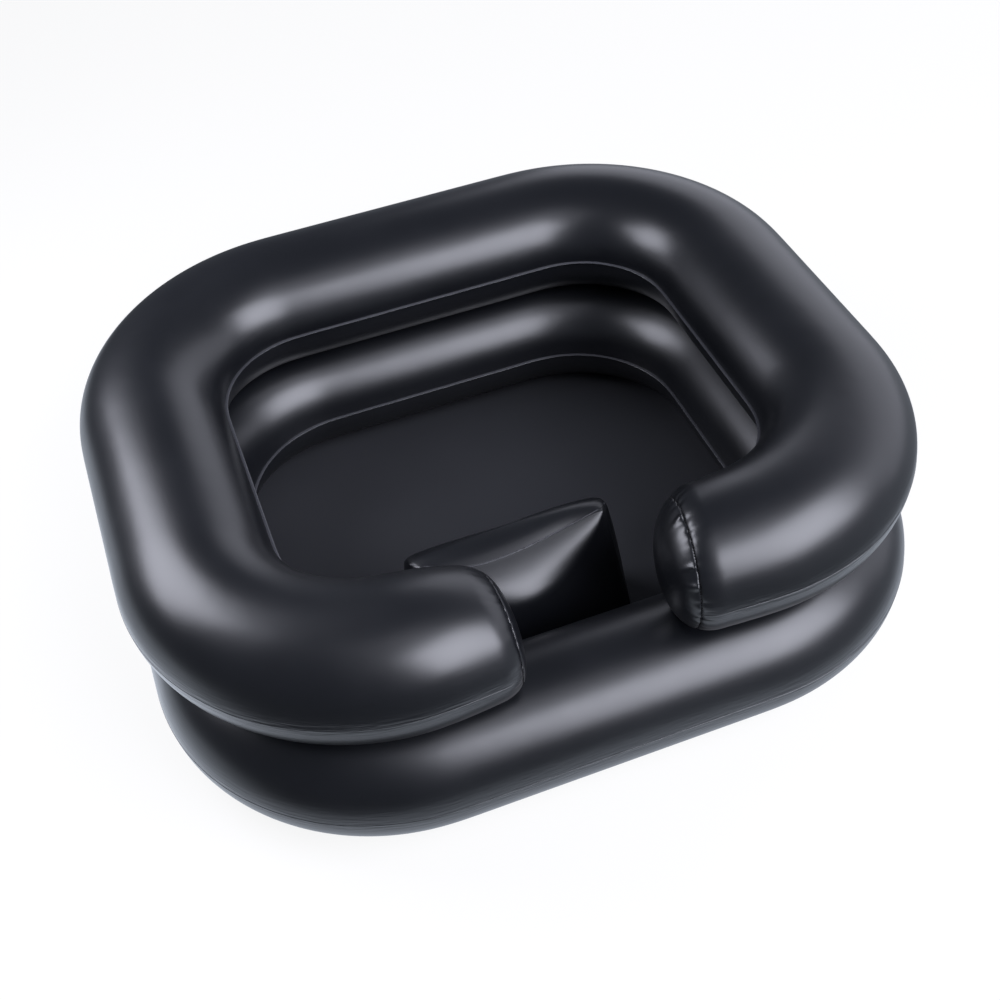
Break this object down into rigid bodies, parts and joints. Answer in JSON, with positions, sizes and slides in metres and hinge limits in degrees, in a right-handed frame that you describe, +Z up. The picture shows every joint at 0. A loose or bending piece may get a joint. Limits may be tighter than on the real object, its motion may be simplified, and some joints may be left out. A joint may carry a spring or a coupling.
{
  "type": "portable shampoo basin",
  "caption": "Inflatable basin of stacked air rings with a floor sheet, an open neck gap in the upper ring, a neck cushion, air valves and a drain.",
  "frame": {"origin": "on the ground under the middle of the lower ring, at the underside of the floor sheet", "axes": "+Z up, -Y out through the neck gap at the front, +X to the right of someone who faces the rear from the neck gap"},
  "size_m": [0.624, 0.5572, 0.2026],
  "materials": {
    "chamber_vinyl": "semi-gloss soft black vinyl sheet with fine wrinkles at its welds",
    "floor_vinyl": "matt soft black vinyl sheet",
    "moulded_vinyl": "satin moulded soft black vinyl"
  },
  "bodies": {
    "basin": {"lower_ring_bottom_sheet": "chamber_vinyl", "lower_ring_top_sheet": "chamber_vinyl", "upper_ring_bottom_sheet": "chamber_vinyl", "upper_ring_top_sheet": "chamber_vinyl", "upper_ring_left_end_cap": "chamber_vinyl", "upper_ring_right_end_cap": "chamber_vinyl", "basin_floor": "floor_vinyl", "headrest_cushion": "chamber_vinyl", "headrest_top_panel": "chamber_vinyl", "headrest_left_gusset": "chamber_vinyl", "headrest_right_gusset": "chamber_vinyl", "headrest_base_sheet": "floor_vinyl", "lower_ring_valve_stem": "moulded_vinyl", "lower_ring_valve_tether": "moulded_vinyl", "upper_ring_valve_stem": "moulded_vinyl", "upper_ring_valve_tether": "moulded_vinyl", "headrest_valve_stem": "moulded_vinyl", "headrest_valve_tether": "moulded_vinyl", "drain_fitting": "moulded_vinyl", "drain_tether": "moulded_vinyl"},
    "lower_valve_stopper": {"lower_ring_valve_stopper": "moulded_vinyl"},
    "upper_valve_stopper": {"upper_ring_valve_stopper": "moulded_vinyl"},
    "headrest_valve_stopper": {"headrest_valve_stopper": "moulded_vinyl"},
    "lower_valve_flap": {"lower_ring_valve_flap": "moulded_vinyl"},
    "upper_valve_flap": {"upper_ring_valve_flap": "moulded_vinyl"},
    "headrest_valve_flap": {"headrest_valve_flap": "moulded_vinyl"},
    "drain_plug": {"drain_stopper": "moulded_vinyl"}
  },
  "joints": [
    {"name": "lower_valve_stopper_pull", "type": "slide", "parent": "basin", "child": "lower_valve_stopper", "axis": [0, 0.8988, 0.4384], "range_m": [0, 0.012], "deforming": ["lower_ring_valve_tether"]},
    {"name": "upper_valve_stopper_pull", "type": "slide", "parent": "basin", "child": "upper_valve_stopper", "axis": [0, 0.8988, -0.4384], "range_m": [0, 0.012], "deforming": ["upper_ring_valve_tether"]},
    {"name": "headrest_valve_stopper_pull", "type": "slide", "parent": "basin", "child": "headrest_valve_stopper", "axis": [0, 0.9944, 0.1058], "range_m": [0, 0.012], "deforming": ["headrest_valve_tether"]},
    {"name": "drain_stopper_pull", "type": "slide", "parent": "basin", "child": "drain_plug", "axis": [0, 0, 1], "range_m": [0, 0.01], "deforming": ["drain_tether"]},
    {"name": "lower_valve_flap_hinge", "type": "hinge", "parent": "basin", "child": "lower_valve_flap", "pos_m": [0.045, 0.25305, 0.07572], "axis": [-1, 0, 0], "range_deg": [0, 60], "stiffness_Nm_per_rad": 0.0005},
    {"name": "upper_valve_flap_hinge", "type": "hinge", "parent": "basin", "child": "upper_valve_flap", "pos_m": [-0.045, 0.26447, 0.13551], "axis": [-1, 0, 0], "range_deg": [0, 60], "stiffness_Nm_per_rad": 0.0005},
    {"name": "headrest_valve_flap_hinge", "type": "hinge", "parent": "basin", "child": "headrest_valve_flap", "pos_m": [-0.017, -0.07109, 0.05089], "axis": [-1, 0, 0], "range_deg": [0, 60], "stiffness_Nm_per_rad": 0.0005}
  ]
}
